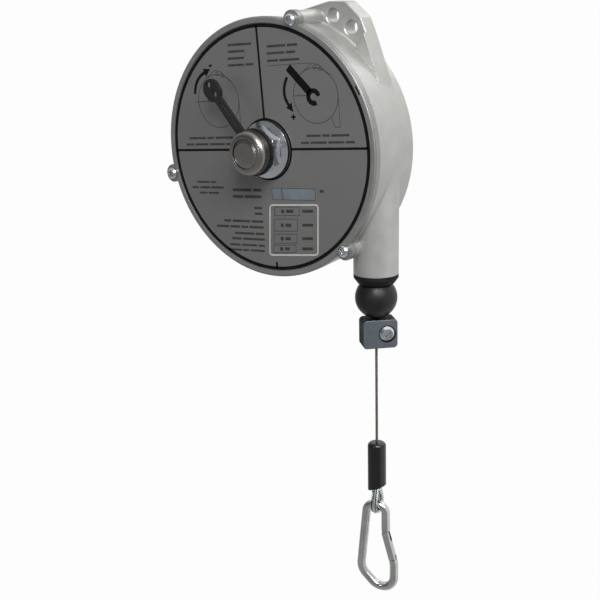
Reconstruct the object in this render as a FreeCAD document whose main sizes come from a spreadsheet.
import FreeCAD, Part
import Sketcher

import math
import os

# Spring tool balancer: a die cast drum case that hangs from a lug, a cable drum driven by a
# spiral spring inside it, and a wire rope that leaves through a spout and carries a snap hook.
# X is to the right of the dial, Y goes from the dial to the back, Z is up, in millimetres.
# The origin is the middle of the suspension hole in the lug.

V = FreeCAD.Vector
doc = FreeCAD.newDocument("tool_balancer")

# Driving dimensions

SIZES = {
    # case, measured from the hub's axis and from the face of the label plate
    "case_radius": 91.0,
    "case_draft": 3.0,
    "case_depth": 54.0,
    "case_wall": 4.0,
    "back_wall": 4.0,
    "back_edge": 3.0,
    "back_boss_radius": 20.0,
    "back_boss_rise": 3.5,
    "back_boss_floor": 2.0,
    "rib_count": 6.0,
    "rib_width": 4.0,
    "rib_rise": 1.6,
    "joint_depth": 5.0,
    # lug with its two holes
    "lug_front": 29.0,
    "lug_thickness": 13.0,
    "lug_angle": 57.78,
    "lug_hole_out": 6.52,
    "lug_hole_radius": 5.0,
    "lug_hole_chamfer": 0.8,
    "safety_hole_out": 6.4,
    "safety_hole_lead": 9.9,
    "lug_left_out": 14.4,
    "lug_left_lead": 13.68,
    "lug_top_out": 19.6,
    "lug_top_lead": 6.79,
    "lug_shoulder_out": 16.8,
    "lug_shoulder_lag": 1.47,
    "lug_corner_out": 11.2,
    "lug_corner_lag": 6.78,
    "lug_round": 6.0,
    "lug_root_round": 2.0,
    "lug_edge_round": 1.0,
    "gusset_step": 3.0,
    "gusset_root_in": 1.9,
    "gusset_root_lag": 7.82,
    # cover screws on their bosses
    "screw_out": 1.0,
    "screw_start": 75.0,
    "boss_radius": 6.0,
    "boss_length": 24.0,
    "boss_root_round": 2.0,
    "ear_radius": 6.6,
    "screw_radius": 2.5,
    "screw_head_radius": 4.1,
    "screw_head_rise": 3.2,
    "screw_length": 13.0,
    "screw_cross": 1.1,
    # front cover and label plate
    "cover_plate": 4.0,
    "cover_lip": 0.6,
    "cover_edge": 1.0,
    "label_margin": 4.4,
    "label_thickness": 0.8,
    "spigot_depth": 3.0,
    "spigot_wall": 3.0,
    "bush_seat_wall": 4.0,
    "fit_gap": 0.15,
    "press_gap": 0.02,
    # rope line and spout
    "rope_radius": 1.0,
    "spout_radius": 15.9,
    "spout_top_radius": 16.4,
    "spout_bottom": 85.3,
    "spout_bore": 12.5,
    # guide bush
    "bush_length": 21.0,
    "bush_bore": 3.0,
    "bush_flange": 2.7,
    "bush_cup_radius": 13.0,
    "bush_cup_height": 4.0,
    # rubber stop ball
    "ball_radius": 15.0,
    "ball_drop": 17.5,
    "ball_bore_gap": 0.1,
    # rope stop clamp
    "clamp_width": 25.0,
    "clamp_height": 21.0,
    "clamp_half": 7.0,
    "clamp_split": 0.6,
    "clamp_round": 3.0,
    "clamp_edge": 0.8,
    "clamp_gap": 0.1,
    "clamp_offset": 1.4,
    "clamp_turn": 46.0,
    "clamp_screw_across": 6.3,
    "clamp_screw_radius": 3.0,
    "clamp_head_radius": 5.5,
    "clamp_head_rise": 3.4,
    "clamp_recess": 2.2,
    "clamp_recess_rim": 0.8,
    "clamp_cross": 1.2,
    "clamp_nut_flats": 10.0,
    "clamp_nut_thickness": 5.0,
    "clamp_nut_stand": 0.5,
    # hub stack, from the label plate forward
    "arbor_radius": 8.0,
    "spindle_radius": 4.0,
    "hub_gap": 0.3,
    "hub_flange_radius": 20.0,
    "hub_flange": 2.4,
    "hub_cone": 2.2,
    "hex_flats": 30.0,
    "hex_length": 8.3,
    "hex_chamfer": 1.4,
    "hex_chamfer_in": 0.4,
    "cone_shoulder": 0.6,
    "lever_thickness": 2.4,
    "lever_ring_radius": 16.5,
    "lever_angle": 131.0,
    "lever_reach": 54.0,
    "lever_width": 6.4,
    "lever_slot": 2.0,
    "eye_length": 17.0,
    "eye_width": 14.0,
    "eye_hole_radius": 2.1,
    "eye_hole_shift": 0.6,
    "slot_root": 3.0,
    "slot_end": 2.0,
    "cap_radius": 15.6,
    "cap_length": 9.6,
    "cap_round": 4.5,
    "cap_edge": 1.0,
    "cap_recess": 1.4,
    "cap_face_radius": 10.6,
    "spindle_grip": 3.0,
    "cap_screw_radius": 10.2,
    "cap_screw_rise": 1.6,
    "cap_screw_shank": 2.5,
    "cap_screw_rim": 0.7,
    "cap_screw_slope": 2.4,
    "running_gap": 0.05,
    "side_gap": 0.3,
    # bushes, drum and spring
    "bush_wall": 2.0,
    "bush_lip": 0.8,
    "bush_lip_gap": 0.2,
    "drum_behind": 5.2,
    "drum_bush_gap": 2.0,
    "drum_gap": 3.4,
    "drum_wall": 11.2,
    "drum_web": 4.0,
    "drum_hub_radius": 14.0,
    "drum_edge": 0.7,
    "drum_rim": 3.0,
    "groove_turns": 6.0,
    "groove_pitch": 2.6,
    "groove_growth": 0.9,
    "groove_depth": 1.2,
    "groove_gap": 0.15,
    "flange_height": 3.4,
    "flange_width": 1.6,
    "drum_lid": 2.2,
    "lid_boss": 1.0,
    "window_count": 6.0,
    "window_radius": 13.0,
    "lid_seat": 5.5,
    "lid_screw_count": 6.0,
    "lid_screw_radius": 1.5,
    "lid_screw_length": 8.0,
    "lid_head_radius": 2.5,
    "lid_head_rise": 1.4,
    "core_radius": 12.2,
    "hub_stub": 2.5,
    "spring_strip": 0.7,
    "spring_turns": 9.0,
    "spring_core_gap": 0.8,
    "spring_wall_gap": 3.0,
    "nipple_radius": 2.2,
    "nipple_length": 4.0,
    "nipple_cover": 0.3,
    # ratchet, pawl and release cam
    "ratchet_teeth": 12.0,
    "ratchet_radius": 22.0,
    "tooth_height": 3.0,
    "tooth_lean": 1.6,
    "ratchet_thickness": 3.6,
    "ratchet_gap": 1.2,
    "pawl_out": 5.0,
    "pawl_rise": 0.5,
    "pawl_boss_radius": 6.0,
    "pawl_pin_radius": 3.0,
    "pawl_pin_seat": 2.5,
    "pawl_tip_across": 5.2,
    "pawl_tip_gap": 1.5,
    "pawl_tip_height": 4.5,
    "finger_gap": 0.7,
    "finger_width": 3.0,
    "cam_radius": 8.2,
    "cam_thickness": 2.2,
    "cam_gap": 0.4,
    "cam_step": 0.6,
    "cam_nose_radius": 2.6,
    "cam_nose_reach": 10.0,
    "cam_nose_angle": 135.0,
    # rope end: sleeve, ferrule, thimble and rope eye
    "hook_turn": 12.0,
    "rope_run": 73.3,
    "sleeve_length": 37.0,
    "sleeve_radius": 6.75,
    "sleeve_wall": 1.6,
    "sleeve_edge": 0.5,
    "sleeve_flare": 9.0,
    "sleeve_round": 3.0,
    "sleeve_slant": 4.5,
    "ferrule_length": 14.0,
    "ferrule_radius": 2.3,
    "ferrule_spread": 2.5,
    "ferrule_inset": 9.8,
    "thimble_gap": 10.0,
    "thimble_length": 19.3,
    "thimble_eye_radius": 5.6,
    "thimble_width": 4.6,
    "thimble_sheet": 0.8,
    "thimble_flange": 1.5,
    "eye_rope_radius": 1.1,
    # snap hook and its gate
    "hang_gap": 0.4,
    "hook_length": 72.5,
    "hook_wire_radius": 3.25,
    "hook_neck_half": 7.25,
    "hook_belly_half": 13.2,
    "hook_belly_rise": 15.5,
    "gate_pivot_across": 7.0,
    "gate_pivot_down": 26.2,
    "gate_latch_across": 12.3,
    "gate_latch_down": 45.6,
    "gate_pin_radius": 1.1,
    "hook_belly_bend": 12.0,
    "hook_foot_bend": 9.0,
    "hook_latch_stub": 3.2,
    "hook_latch_gap": 0.15,
    "hook_bend_gap": 0.9,
    "tang_half": 1.2,
    "tang_above": 4.6,
    "tang_below": 2.6,
    "latch_half": 1.1,
    "latch_above": 2.4,
    "latch_below": 1.0,
    "gate_slot_gap": 0.2,
    "gate_end_gap": 0.3,
    "gate_slot": 5.4,
    "latch_slot": 3.2,
}

sheet = doc.addObject("Spreadsheet::Sheet", "sizes")
for row, (name, number) in enumerate(SIZES.items(), start=1):
    sheet.set(f"A{row}", name)
    sheet.set(f"B{row}", str(number))
    sheet.setAlias(f"B{row}", name)
doc.recompute()


def size(name):
    """One driving dimension, read back from the sheet."""
    return float(sheet.get(name))


def worked_out(value):
    """The number that an expression, or a plain number, stands for."""
    if isinstance(value, str):
        return float(sheet.evalExpression(value))
    return float(value)


# Frames: every piece is drawn about the hub's axis or about the rope's line

def polar(radius, angle):
    """The two expressions of a point at a radius and an angle, in degrees, about the hub."""
    return f"({radius}) * cos({angle})", f"({radius}) * sin({angle})"


LUG_MIDDLE = "(sizes.lug_front + sizes.lug_thickness / 2)"
LUG_HOLE = polar("sizes.case_radius + sizes.lug_hole_out", "sizes.lug_angle")
CASE_BACK = "(sizes.case_radius - sizes.case_draft)"
DRUM_FRONT = "(sizes.label_thickness + sizes.cover_plate + sizes.drum_behind)"
CAM_BACK = "(sizes.case_depth - sizes.back_wall - sizes.cam_gap)"
CAM_FRONT = f"({CAM_BACK} - sizes.cam_thickness)"
RATCHET_BACK = f"({CAM_FRONT} - sizes.cam_step)"
RATCHET_FRONT = f"({RATCHET_BACK} - sizes.ratchet_thickness)"
DRUM_BACK = f"({RATCHET_FRONT} - sizes.ratchet_gap)"
GROOVES_GROW = "sizes.groove_growth * (sizes.groove_turns - 1)"
GROOVES_WIDE = "sizes.groove_pitch * (sizes.groove_turns - 0.5)"
ROPE_ACROSS = (
    f"({CASE_BACK} - sizes.case_wall - sizes.drum_gap - sizes.flange_height - {GROOVES_GROW})"
)
ROPE_DEPTH = f"({DRUM_BACK} - sizes.drum_edge - {GROOVES_WIDE})"
PAWL_PIVOT = ("sizes.ratchet_radius + sizes.pawl_out", "sizes.ratchet_radius + sizes.pawl_rise")
HUB = (f"-({LUG_HOLE[0]})", f"-{LUG_MIDDLE}", f"-({LUG_HOLE[1]})")
ROPE = (f"{ROPE_ACROSS} - ({LUG_HOLE[0]})", f"{ROPE_DEPTH} - {LUG_MIDDLE}", f"-({LUG_HOLE[1]})")


def place(piece, frame, axis=V(0, 0, 1), turn="0"):
    """Stand a piece in its frame, turned about one axis by a number of degrees."""
    rotation = FreeCAD.Rotation(axis, worked_out(turn))
    piece.Placement = FreeCAD.Placement(V(*[worked_out(value) for value in frame]), rotation)
    for letter, value in zip("xyz", frame):
        piece.setExpression(f"Placement.Base.{letter}", value)
    return piece


# Sketches and features

PIECES = {}


def keep(piece, label):
    """Give a piece its name, which also names its file."""
    piece.Label = label
    PIECES[label] = piece
    return piece


def new_body(label):
    return keep(doc.addObject("PartDesign::Body", label), label)


def new_sketch(body, name, plane="XZ_Plane", at=0):
    """A sketch on one of the body's own planes, moved along Y, or along Z, to the value at."""
    sketch = body.newObject("Sketcher::SketchObject", name)
    base = [item for item in body.Origin.OriginFeatures if item.Role == plane][0]
    sketch.AttachmentSupport = (base, [""])
    sketch.MapMode = "FlatFace"
    shift = f"-({at})" if plane == "XZ_Plane" else f"({at})"
    sketch.AttachmentOffset = FreeCAD.Placement(V(0, 0, worked_out(shift)), FreeCAD.Rotation())
    if isinstance(at, str):
        sketch.setExpression("AttachmentOffset.Base.z", shift)
    return sketch


def fix(sketch, kind, element, point, value):
    """Hold one coordinate of a point of the sketch at a number or an expression."""
    number = worked_out(value)
    if abs(number) < 1e-9:
        axis = -2 if kind == "DistanceX" else -1
        sketch.addConstraint(Sketcher.Constraint("PointOnObject", element, point, axis))
        return
    made = sketch.addConstraint(Sketcher.Constraint(kind, -1, 1, element, point, number))
    if isinstance(value, str):
        sketch.setExpression(f"Constraints[{made}]", value)


def outline(sketch, corners):
    """A closed outline. A corner is (x, y), or (x, y, radius, side) where the stretch to the
    next corner is an arc of that radius that bulges to the left (1) or the right (-1)."""
    spots = [V(worked_out(c[0]), worked_out(c[1]), 0) for c in corners]
    ends = []
    for number, corner in enumerate(corners):
        start, end = spots[number], spots[(number + 1) % len(corners)]
        if len(corner) == 2:
            index = sketch.addGeometry(Part.LineSegment(start, end))
            ends.append((index, 1, 2))
            continue
        radius, side = worked_out(corner[2]), corner[3]
        along = end - start
        across = V(-along.y, along.x, 0).normalize()
        sagitta = radius - math.sqrt(max(radius**2 - (along.Length / 2) ** 2, 0.0))
        top = start + along * 0.5 + across * (side * sagitta)
        index = sketch.addGeometry(Part.Arc(start, top, end))
        forward = (sketch.getPoint(index, 1) - start).Length < 1e-6
        ends.append((index, 1, 2) if forward else (index, 2, 1))
        made = sketch.addConstraint(Sketcher.Constraint("Radius", index, radius))
        if isinstance(corner[2], str):
            sketch.setExpression(f"Constraints[{made}]", corner[2])
    for number, corner in enumerate(corners):
        index, head, tail = ends[number]
        follower, entry, _ = ends[(number + 1) % len(corners)]
        sketch.addConstraint(Sketcher.Constraint("Coincident", index, tail, follower, entry))
        fix(sketch, "DistanceX", index, head, corner[0])
        fix(sketch, "DistanceY", index, head, corner[1])
    return sketch


def ring(sketch, x, y, radius):
    """A circle held by its centre and radius."""
    centre = V(worked_out(x), worked_out(y), 0)
    index = sketch.addGeometry(Part.Circle(centre, V(0, 0, 1), worked_out(radius)))
    fix(sketch, "DistanceX", index, 3, x)
    fix(sketch, "DistanceY", index, 3, y)
    made = sketch.addConstraint(Sketcher.Constraint("Radius", index, worked_out(radius)))
    if isinstance(radius, str):
        sketch.setExpression(f"Constraints[{made}]", radius)
    return sketch


def hexagon(sketch, x, y, flats):
    """A hexagon with two corners on the sketch's vertical, flats apart across its sides."""
    corners = []
    for corner in range(6):
        angle = math.radians(60 * corner + 30)
        reach = worked_out(flats) / 2 / math.cos(math.radians(30))
        corners.append((worked_out(x) + reach * math.cos(angle), worked_out(y) + reach * math.sin(angle)))
    return outline(sketch, corners)


def volume(body):
    """The body's volume so far, after checking that nothing in it failed."""
    doc.recompute()
    if body.Tip is None or not body.Tip.Shape.isValid() or body.Tip.Shape.isNull():
        raise ValueError(f"{body.Label}: {body.Tip.Label if body.Tip else 'no'} feature failed")
    return body.Tip.Shape.Volume


def feature(body, kind, name, sketch):
    """A new feature on a sketch, and the body's volume before it."""
    before = body.Tip.Shape.Volume if body.Tip is not None else 0.0
    made = body.newObject(f"PartDesign::{kind}", name)
    made.Profile = sketch
    return made, before


def settle(body, before, adds):
    """Check that the last feature added material, or took some away."""
    change = volume(body) - before
    if (change if adds else -change) < 1e-3:
        raise ValueError(f"{body.Label}: {body.Tip.Label} changed the volume by {change:.3f}")
    return body


def seen_from_front(sketch):
    return sketch.AttachmentSupport[0][0].Role == "XZ_Plane"


def pad(body, name, sketch, length, draft=0.0):
    """Material from the sketch plane towards the back, up or to the right."""
    made, before = feature(body, "Pad", name, sketch)
    made.Length = worked_out(length)
    if isinstance(length, str):
        made.setExpression("Length", length)
    made.TaperAngle = draft
    made.Reversed = seen_from_front(sketch)
    return settle(body, before, True)


def pocket(body, name, sketch, length):
    """A cut from the sketch plane towards the back, up or to the right."""
    made, before = feature(body, "Pocket", name, sketch)
    made.Length = worked_out(length)
    if isinstance(length, str):
        made.setExpression("Length", length)
    made.Reversed = not seen_from_front(sketch)
    return settle(body, before, False)


def turn(body, name, sketch):
    """The sketch turned once round its vertical axis."""
    made, before = feature(body, "Revolution", name, sketch)
    made.ReferenceAxis = (sketch, ["V_Axis"])
    made.Angle = 360
    return settle(body, before, True)


def bore_out(body, name, sketch):
    """The sketch turned once round its vertical axis and taken away."""
    made, before = feature(body, "Groove", name, sketch)
    made.ReferenceAxis = (sketch, ["V_Axis"])
    made.Angle = 360
    return settle(body, before, False)


def round_edges(body, name, radius, wanted):
    """A fillet on the edges that the test wanted picks."""
    base = body.Tip
    names = [f"Edge{n}" for n, edge in enumerate(base.Shape.Edges, start=1) if wanted(edge)]
    made = body.newObject("PartDesign::Fillet", name)
    made.Base = (base, names)
    made.Radius = worked_out(radius)
    if isinstance(radius, str):
        made.setExpression("Radius", radius)
    volume(body)
    return body


def turned_piece(label, corners, frame=HUB, plane="XY_Plane"):
    """A piece that is one turned profile: corners are (radius, place along the axis)."""
    body = new_body(label)
    sketch = outline(new_sketch(body, f"{label}_profile", plane), corners)
    turn(body, f"{label}_turned", sketch)
    return place(body, frame)


def shaped(label, shape, frame=HUB, axis=V(0, 0, 1), turn="0"):
    """A piece whose shape comes from a sweep or a group of equal solids."""
    piece = keep(doc.addObject("Part::Feature", label), label)
    piece.Shape = shape
    return place(piece, frame, axis, turn)


def copies(label, master, spots, frame=HUB):
    """A group of equal separate solids, one at each spot."""
    group = []
    for spot in spots:
        copy = master.copy()
        copy.Placement = spot.multiply(copy.Placement)
        group.append(copy)
    return shaped(label, Part.Compound(group), frame)


def rounded_path(points, radii):
    """A wire of straight runs through the points, its inner corners rounded with the radii."""
    edges = []
    start = points[0]
    for number, radius in enumerate(radii, start=1):
        corner = points[number]
        inward = (points[number - 1] - corner).normalize()
        onward = (points[number + 1] - corner).normalize()
        half = inward.getAngle(onward) / 2
        back = radius / math.tan(half)
        centre = corner + (inward + onward).normalize() * (radius / math.sin(half))
        first, last = corner + inward * back, corner + onward * back
        middle = centre + (corner - centre).normalize() * radius
        edges.append(Part.LineSegment(start, first).toShape())
        edges.append(Part.Arc(first, middle, last).toShape())
        start = last
    edges.append(Part.LineSegment(start, points[-1]).toShape())
    return Part.Wire(edges)


def rod(path, radius):
    """A round bar along a path, checked against its section times the path's length."""
    edge = path.Edges[0]
    direction = edge.tangentAt(edge.FirstParameter)
    section = Part.Wire(Part.makeCircle(radius, path.Edges[0].Vertexes[0].Point, direction))
    bar = path.makePipeShell([section], True, False)
    wanted = math.pi * radius**2 * path.Length
    if not bar.isValid() or abs(bar.Volume - wanted) > 0.02 * wanted:
        raise ValueError(f"the rod of radius {radius} has volume {bar.Volume:.1f}, not {wanted:.1f}")
    return bar


def about_hub(radius, angle, depth=0.0):
    """A point on a circle about the hub's axis, by its angle from X towards Z."""
    turned = math.radians(angle)
    return V(radius * math.cos(turned), depth, radius * math.sin(turned))


def tangent_point(point, radius, side):
    """Where the line from a point outside touches the circle about the hub."""
    far = math.hypot(*point)
    bearing = math.atan2(point[1], point[0])
    spread = side * math.acos(radius / far)
    return (radius * math.cos(bearing + spread), radius * math.sin(bearing + spread))


# Case: a drafted cup with lug, gusset, spout and screw bosses, cast in one piece


def case_radius_at(depth):
    """The radius of the drafted side wall at a depth behind the label."""
    front, back = size("joint_depth"), size("case_depth") - size("back_edge")
    return size("case_radius") - size("case_draft") * (depth - front) / (back - front)


def lug_point(out, lead):
    """The expressions of a point of the lug, beyond the case's radius and ahead of the lug's angle."""
    return polar(f"sizes.case_radius + {out}", f"sizes.lug_angle + {lead}")


LUG_LEFT = lug_point("sizes.lug_left_out", "sizes.lug_left_lead")
LUG_TOP = lug_point("sizes.lug_top_out", "sizes.lug_top_lead")
LUG_SHOULDER = lug_point("sizes.lug_shoulder_out", "(-sizes.lug_shoulder_lag)")
LUG_CORNER = lug_point("sizes.lug_corner_out", "(-sizes.lug_corner_lag)")
SAFETY_HOLE = lug_point("sizes.safety_hole_out", "sizes.safety_hole_lead")
GUSSET_ROOT = lug_point("(-sizes.gusset_root_in)", "(-sizes.gusset_root_lag)")


def screw_spots():
    """The middles of the three cover screws, evenly round the case."""
    reach = size("case_radius") + size("screw_out")
    return [about_hub(reach, size("screw_start") + 120 * number) for number in range(3)]


def add_lug(body):
    """The lug: a flat plate whose sides run on as tangents to the case, and its thicker gusset."""
    inside = case_radius_at(size("lug_front") + size("lug_thickness")) - size("lug_edge_round") / 2
    corner = [worked_out(value) for value in LUG_CORNER]
    left = tangent_point([worked_out(value) for value in LUG_LEFT], inside, 1)
    right = tangent_point(corner, inside, -1)
    lug = new_sketch(body, "lug_outline", "XZ_Plane", "sizes.lug_front")
    outline(lug, [(0, 0), right, LUG_CORNER, LUG_SHOULDER, LUG_TOP, LUG_LEFT, left])
    pad(body, "lug", lug, "sizes.lug_thickness")
    tall = [[worked_out(value) for value in point] for point in (LUG_SHOULDER, LUG_TOP, LUG_LEFT)]
    round_edges(body, "lug_corners", "sizes.lug_round", lambda edge: upright_at(edge, tall))
    gusset = new_sketch(body, "gusset_outline", "XZ_Plane", "sizes.lug_front - sizes.gusset_step")
    root = polar("sizes.case_radius / 2", "sizes.lug_angle - sizes.gusset_root_lag")
    outline(gusset, [GUSSET_ROOT, root, right, LUG_CORNER])
    pad(body, "gusset", gusset, "sizes.gusset_step + sizes.lug_thickness")
    front, back = size("lug_front"), size("lug_front") + size("lug_thickness")
    round_edges(body, "lug_front_rim", "sizes.lug_edge_round", lambda edge: long_side(edge, front))
    round_edges(body, "lug_back_rim", "sizes.lug_edge_round", lambda edge: long_side(edge, back))
    round_edges(body, "lug_front_root", "sizes.lug_root_round", lambda edge: on_case(edge, front))


def far_from_axis(edge):
    """The distance of an edge's middle from the hub's axis."""
    middle = edge.valueAt((edge.FirstParameter + edge.LastParameter) / 2)
    return math.hypot(middle.x, middle.z)


def on_case(edge, depth):
    """Whether an edge runs round the case's side wall at one depth."""
    return flat_at(edge, depth) and abs(far_from_axis(edge) - case_radius_at(depth)) < 0.02


def long_side(edge, depth):
    """Whether an edge is a long straight side of the lug at one depth; its round corners follow it."""
    beyond = far_from_axis(edge) > size("case_radius") + size("lug_edge_round")
    return flat_at(edge, depth) and beyond and edge.Length > 2 * size("lug_thickness")


def boss_root(edge):
    """Whether an edge is the full length of the corner between a screw boss and the side wall."""
    depths = [vertex.Point.y for vertex in edge.Vertexes]
    full = abs(max(depths) - min(depths) - size("boss_length")) < 0.1
    return full and abs(far_from_axis(edge) - size("case_radius")) < size("case_draft")


def add_back_ribs(body):
    """Low ribs that run out from the boss in the middle of the back."""
    for number in range(int(size("rib_count"))):
        angle = 360 / size("rib_count") * (number + 0.5)
        start = about_hub(size("back_boss_radius") / 2, angle)
        end = about_hub(worked_out(f"{CASE_BACK} - 2 * sizes.back_edge"), angle)
        across = about_hub(size("rib_width") / 2, angle + 90)
        corners = [start - across, end - across, end + across, start + across]
        rib = new_sketch(body, f"rib_{number}", "XZ_Plane", "sizes.case_depth - sizes.rib_rise")
        outline(rib, [(corner.x, corner.z) for corner in corners])
        pad(body, f"back_rib_{number}", rib, "2 * sizes.rib_rise")


REAR_BUSH = "(sizes.spindle_radius + sizes.running_gap + sizes.bush_wall)"
BOSS_FLOOR = "(sizes.case_depth + sizes.back_boss_rise - sizes.back_boss_floor)"


def make_housing():
    body = new_body("housing")
    back_radius = f"{CASE_BACK} - sizes.back_edge"
    cup = outline(
        new_sketch(body, "cup_profile", "XY_Plane"),
        [
            (0, "sizes.joint_depth"),
            ("sizes.case_radius", "sizes.joint_depth"),
            (CASE_BACK, "sizes.case_depth - sizes.back_edge", "sizes.back_edge", 1),
            (back_radius, "sizes.case_depth"),
            ("sizes.back_boss_radius + sizes.back_boss_rise", "sizes.case_depth"),
            ("sizes.back_boss_radius", "sizes.case_depth + sizes.back_boss_rise"),
            (0, "sizes.case_depth + sizes.back_boss_rise"),
        ],
    )
    turn(body, "cup", cup)
    add_lug(body)

    spout = new_sketch(body, "spout_circle", "XY_Plane", "-sizes.spout_bottom")
    ring(spout, ROPE_ACROSS, ROPE_DEPTH, "sizes.spout_radius")
    flare = (size("spout_top_radius") - size("spout_radius")) / size("spout_bottom")
    pad(body, "spout", spout, "sizes.spout_bottom", math.degrees(math.atan(flare)))
    for number, spot in enumerate(screw_spots()):
        boss = new_sketch(body, f"boss_{number}", "XZ_Plane", "sizes.joint_depth")
        ring(boss, spot.x, spot.z, "sizes.boss_radius")
        pad(body, f"screw_boss_{number}", boss, "sizes.boss_length")
    round_edges(body, "screw_boss_roots", "sizes.boss_root_round", boss_root)
    add_back_ribs(body)

    inside = "sizes.case_depth - sizes.back_wall"
    mouth = "sizes.case_radius - sizes.case_wall"
    cavity = outline(
        new_sketch(body, "cavity_profile", "XY_Plane"),
        [
            (0, 0),
            (mouth, 0),
            (mouth, "sizes.joint_depth + sizes.spigot_depth + sizes.cover_edge"),
            (f"{CASE_BACK} - sizes.case_wall", inside),
            (REAR_BUSH, inside),
            (REAR_BUSH, BOSS_FLOOR),
            (0, BOSS_FLOOR),
        ],
    )
    bore_out(body, "cavity", cavity)
    throat = new_sketch(body, "throat_circle", "XY_Plane", "-sizes.spout_bottom")
    ring(throat, ROPE_ACROSS, ROPE_DEPTH, "sizes.spout_bore")
    pocket(body, "throat", throat, "sizes.spout_bottom - sizes.spout_bore")

    for label, middle in (("suspension", LUG_HOLE), ("safety", SAFETY_HOLE)):
        hole = new_sketch(body, f"{label}_circle", "XZ_Plane", "sizes.lug_front / 2")
        ring(hole, *middle, "sizes.lug_hole_radius")
        pocket(body, f"{label}_hole", hole, "sizes.lug_front / 2 + 2 * sizes.lug_thickness")
    base, names = body.Tip, hole_rims(body.Tip.Shape)
    rims = body.newObject("PartDesign::Chamfer", "hole_rims")
    rims.Base = (base, names)
    rims.Size = size("lug_hole_chamfer")
    rims.setExpression("Size", "sizes.lug_hole_chamfer")
    volume(body)

    for number, spot in enumerate(screw_spots()):
        hole = new_sketch(body, f"screw_hole_{number}_circle", "XZ_Plane", "sizes.joint_depth")
        ring(hole, spot.x, spot.z, "sizes.screw_radius")
        pocket(body, f"screw_hole_{number}", hole, "sizes.screw_length - sizes.joint_depth")
    seat = new_sketch(body, "pawl_pin_circle", "XZ_Plane", CAM_BACK)
    ring(seat, *PAWL_PIVOT, "sizes.pawl_pin_radius + sizes.press_gap")
    pocket(body, "pawl_pin_seat", seat, "sizes.cam_gap + sizes.pawl_pin_seat")
    return place(body, HUB)


def upright_at(edge, spots):
    """Whether an edge runs straight along the depth at one of the spots."""
    start, end = edge.Vertexes[0].Point, edge.Vertexes[-1].Point
    if math.hypot(start.x - end.x, start.z - end.z) > 1e-3:
        return False
    return any(math.hypot(start.x - x, start.z - z) < 1e-3 for x, z in spots)


def hole_rims(shape):
    """The names of the circles at both faces of the two holes in the lug."""
    middles = [[worked_out(value) for value in middle] for middle in (LUG_HOLE, SAFETY_HOLE)]
    names = []
    for number, edge in enumerate(shape.Edges, start=1):
        if not isinstance(edge.Curve, Part.Circle):
            continue
        middle = edge.Curve.Center
        if abs(edge.Curve.Radius - size("lug_hole_radius")) > 1e-3:
            continue
        if any(math.hypot(middle.x - x, middle.z - z) < 1e-3 for x, z in middles):
            names.append(f"Edge{number}")
    return names


# Front: cover with three ears, label plate, screws and the arbor's front bush

FRONT_BUSH = "(sizes.arbor_radius + sizes.running_gap + sizes.bush_wall)"
COVER_BACK = "(sizes.label_thickness + sizes.cover_plate)"
LABEL_RADIUS = "(sizes.case_radius - sizes.label_margin)"
BUSH_END = f"({DRUM_FRONT} - sizes.drum_bush_gap)"


def make_cover():
    inner = "sizes.case_radius - sizes.case_wall - sizes.fit_gap"
    seat = f"{LABEL_RADIUS} + sizes.fit_gap"
    rim = "sizes.joint_depth + sizes.spigot_depth"
    bush_seat = f"{FRONT_BUSH} + sizes.bush_seat_wall"
    body = turned_piece(
        "front_cover",
        [
            (FRONT_BUSH, "sizes.label_thickness"),
            (seat, "sizes.label_thickness"),
            (seat, "-sizes.cover_lip"),
            ("sizes.case_radius - sizes.cover_edge", "-sizes.cover_lip", "sizes.cover_edge", 1),
            ("sizes.case_radius", "-sizes.cover_lip + sizes.cover_edge"),
            ("sizes.case_radius", "sizes.joint_depth"),
            (inner, "sizes.joint_depth"),
            (inner, rim),
            (f"{inner} - sizes.spigot_wall", rim),
            (f"{inner} - sizes.spigot_wall", COVER_BACK),
            (bush_seat, COVER_BACK),
            (bush_seat, BUSH_END),
            (FRONT_BUSH, BUSH_END),
        ],
    )
    deep = "sizes.cover_lip + sizes.joint_depth"
    for number, spot in enumerate(screw_spots()):
        ear = new_sketch(body, f"ear_{number}", "XZ_Plane", "-sizes.cover_lip")
        ring(ear, spot.x, spot.z, "sizes.ear_radius")
        pad(body, f"cover_ear_{number}", ear, deep)
    front = "-2 * sizes.cover_lip"
    trim = new_sketch(body, "label_seat", "XZ_Plane", front)
    ring(trim, 0, 0, seat)
    pocket(body, "label_recess", trim, "2 * sizes.cover_lip + sizes.label_thickness")
    for number, spot in enumerate(screw_spots()):
        hole = new_sketch(body, f"ear_hole_{number}", "XZ_Plane", front)
        ring(hole, spot.x, spot.z, "sizes.screw_radius + sizes.fit_gap")
        pocket(body, f"ear_bore_{number}", hole, f"2 * ({deep})")
    return body


def make_label():
    inner = f"{FRONT_BUSH} + sizes.bush_lip + sizes.bush_lip_gap"
    return turned_piece(
        "label_plate",
        [
            (inner, 0),
            (LABEL_RADIUS, 0),
            (LABEL_RADIUS, "sizes.label_thickness"),
            (inner, "sizes.label_thickness"),
        ],
    )


def pan_head(middle, head, rise, shank, length, cross):
    """A screw that points to the back: a low crowned head with a cross recess, and a plain shank."""
    front = V(0, -1, 0)
    disc = Part.makeCylinder(head, rise * 0.55, middle, front)
    crown = Part.makeCone(head, head * 0.7, rise * 0.45, middle + front * (rise * 0.55), front)
    stem = Part.makeCylinder(shank, length, middle, V(0, 1, 0))
    screw = disc.fuse([crown, stem])
    for number in range(2):
        slot = Part.makeBox(head * 1.1, rise, cross, middle + V(-head * 0.55, -rise * 1.55, -cross / 2))
        slot.rotate(middle, V(0, 1, 0), 45 + 90 * number)
        screw = screw.cut(slot)
    return screw.removeSplitter()


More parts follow.
